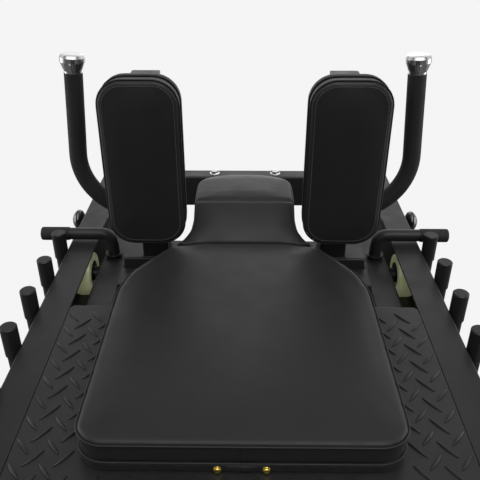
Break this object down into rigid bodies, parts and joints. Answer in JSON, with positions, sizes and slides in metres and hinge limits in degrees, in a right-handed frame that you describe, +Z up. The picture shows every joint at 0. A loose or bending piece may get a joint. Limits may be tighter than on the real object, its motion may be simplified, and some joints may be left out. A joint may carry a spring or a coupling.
{
  "type": "hack squat machine",
  "caption": "Inclined sled machine: rails, wheeled sled with back pad, headrest, shoulder pads, handles, lock arms on stop posts, foot platform.",
  "frame": {"origin": "on the floor, under the middle of the machine's bounding box", "axes": "+Z up, +Y from the foot platform towards the high end of the rails, +X to the right seen from the platform"},
  "size_m": [1.268, 1.87, 1.4537],
  "materials": {
    "black_paint": "satin powder coat",
    "tread_paint": "satin powder coat over raised tread",
    "black_rubber": "matte",
    "grip_rubber": "fine textured, matte",
    "black_plastic": "satin moulded",
    "gloss_knob": "polished",
    "chrome": "polished",
    "black_steel": "blackened",
    "brass": "yellow zinc",
    "black_vinyl": "fine grained vinyl",
    "vinyl_wrap": "vinyl wrapped over board",
    "polyurethane": "translucent yellow green"
  },
  "bodies": {
    "frame": {"rail_left": "black_paint", "rail_right": "black_paint", "rail_crossbars": "black_paint", "crossbar_bolts": "chrome", "sled_bumpers": "black_rubber", "base_tube_left": "black_paint", "base_tube_right": "black_paint", "rear_uprights": "black_paint", "front_legs": "black_paint", "platform_struts": "black_paint", "rubber_feet": "black_rubber", "base_crossmembers": "black_paint", "foot_platform": "tread_paint", "stop_posts": "black_paint", "stop_sleeves": "black_plastic", "post_brackets": "black_paint", "pin_housings": "black_paint", "base_plugs": "black_plastic"},
    "sled": {"sled_member_left": "black_paint", "sled_member_right": "black_paint", "sled_crossmember": "black_paint", "crossmember_flanges": "black_paint", "bridge_bar": "black_paint", "sled_end_tube": "black_paint", "headrest_beam": "black_paint", "tread_joists": "black_paint", "tread_plate": "tread_paint", "axles": "black_steel", "axle_spacers": "black_steel", "lock_bosses": "black_paint", "shoulder_pad_left": "black_vinyl", "shoulder_pad_right": "black_vinyl", "shoulder_uprights": "black_paint", "sled_plugs": "black_plastic", "shoulder_boards": "vinyl_wrap", "handle_tubes": "black_paint", "handle_grips": "grip_rubber", "handle_caps": "chrome", "back_board": "vinyl_wrap", "back_cushion": "black_vinyl", "head_cushion": "black_vinyl", "pad_bolts": "brass", "weight_bar": "black_paint", "weight_flanges": "black_paint", "weight_horns": "chrome", "horn_caps": "black_plastic"},
    "wheel_front_left": {"wheel_tyre_front_left": "polyurethane", "wheel_hub_front_left": "black_plastic"},
    "wheel_front_right": {"wheel_tyre_front_right": "polyurethane", "wheel_hub_front_right": "black_plastic"},
    "wheel_rear_left": {"wheel_tyre_rear_left": "polyurethane", "wheel_hub_rear_left": "black_plastic"},
    "wheel_rear_right": {"wheel_tyre_rear_right": "polyurethane", "wheel_hub_rear_right": "black_plastic"},
    "arm_left": {"lock_arm_left": "black_paint", "lock_grip_left": "grip_rubber"},
    "arm_right": {"lock_arm_right": "black_paint", "lock_grip_right": "grip_rubber"},
    "pin_left": {"parking_pin_left": "gloss_knob"},
    "pin_right": {"parking_pin_right": "gloss_knob"}
  },
  "joints": [
    {"name": "sled_slide", "type": "slide", "parent": "frame", "child": "sled", "axis": [0, 0.7071, 0.7071], "range_m": [0, 0.12]},
    {"name": "wheel_front_left_spin", "type": "hinge", "parent": "sled", "child": "wheel_front_left", "pos_m": [-0.305, 0.19895, 0.83801], "axis": [1, 0, 0], "range_deg": [-165, 0]},
    {"name": "wheel_front_right_spin", "type": "hinge", "parent": "sled", "child": "wheel_front_right", "pos_m": [0.305, 0.19895, 0.83801], "axis": [1, 0, 0], "range_deg": [-165, 0]},
    {"name": "wheel_rear_left_spin", "type": "hinge", "parent": "sled", "child": "wheel_rear_left", "pos_m": [-0.305, 0.50937, 1.14843], "axis": [1, 0, 0], "range_deg": [-165, 0]},
    {"name": "wheel_rear_right_spin", "type": "hinge", "parent": "sled", "child": "wheel_rear_right", "pos_m": [0.305, 0.50937, 1.14843], "axis": [1, 0, 0], "range_deg": [-165, 0]},
    {"name": "lock_arm_left_swing", "type": "hinge", "parent": "sled", "child": "arm_left", "pos_m": [-0.255, 0.49565, 1.21065], "axis": [0, 0.7071, -0.7071], "range_deg": [0, 90]},
    {"name": "lock_arm_right_swing", "type": "hinge", "parent": "sled", "child": "arm_right", "pos_m": [0.255, 0.49565, 1.21065], "axis": [0, -0.7071, 0.7071], "range_deg": [0, 90]},
    {"name": "parking_pin_left_pull", "type": "slide", "parent": "frame", "child": "pin_left", "axis": [-1, 0, 0], "range_m": [0, 0.012], "stiffness_N_per_m": 800, "springref_m": -0.006},
    {"name": "parking_pin_right_pull", "type": "slide", "parent": "frame", "child": "pin_right", "axis": [1, 0, 0], "range_m": [0, 0.012], "stiffness_N_per_m": 800, "springref_m": -0.006}
  ],
  "couplings": [
    {"joint": "wheel_front_left_spin", "follows": "sled_slide", "rad_per_m": -23.809},
    {"joint": "wheel_front_right_spin", "follows": "sled_slide", "rad_per_m": -23.809},
    {"joint": "wheel_rear_left_spin", "follows": "sled_slide", "rad_per_m": -23.809},
    {"joint": "wheel_rear_right_spin", "follows": "sled_slide", "rad_per_m": -23.809}
  ]
}
